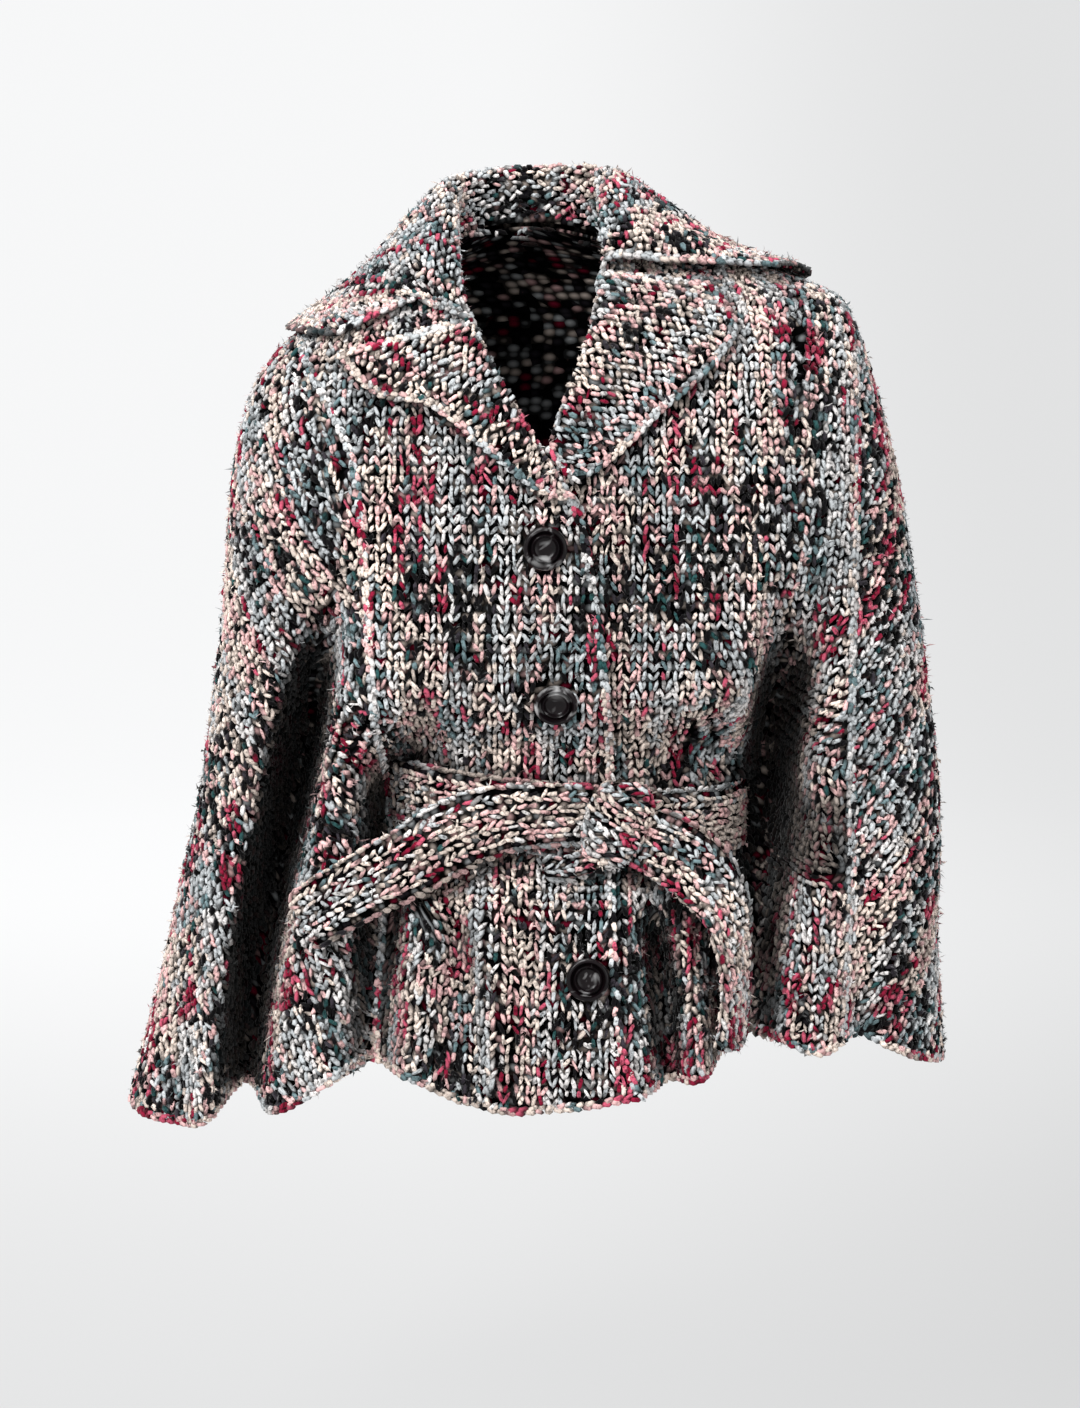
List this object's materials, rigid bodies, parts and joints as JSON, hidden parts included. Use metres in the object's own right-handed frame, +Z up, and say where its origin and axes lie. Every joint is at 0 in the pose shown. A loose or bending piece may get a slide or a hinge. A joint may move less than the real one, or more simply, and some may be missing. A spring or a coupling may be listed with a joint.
{
  "type": "belted cape",
  "caption": "Hip-length belted knit cape: two fronts, back, two wings, notched collar with lapels, round buttons and a tied belt through slits.",
  "frame": {"origin": "midway between the two neck points at the height of the neck edge, where the wearer's shoulders carry the cape", "axes": "+Z up, front faces -Y, +X towards the wearer's left side"},
  "size_m": [0.6539, 0.3495, 0.7402],
  "materials": {
    "knit": "matt marled boucle knit, mixed black, cream, pink, crimson and grey-blue yarn",
    "horn": "glossy dark brown, swirled"
  },
  "bodies": {
    "root": {"front_right": "knit", "front_left": "knit", "front_band_left": "knit", "wing_right": "knit", "wing_left": "knit", "back": "knit", "lapel_right": "knit", "lapel_left": "knit", "collar": "knit", "belt_loop": "knit", "belt_knot": "knit", "belt_end_left": "knit", "belt_end_right": "knit", "button_1": "horn", "button_2": "horn", "button_3": "horn"}
  },
  "joints": []
}
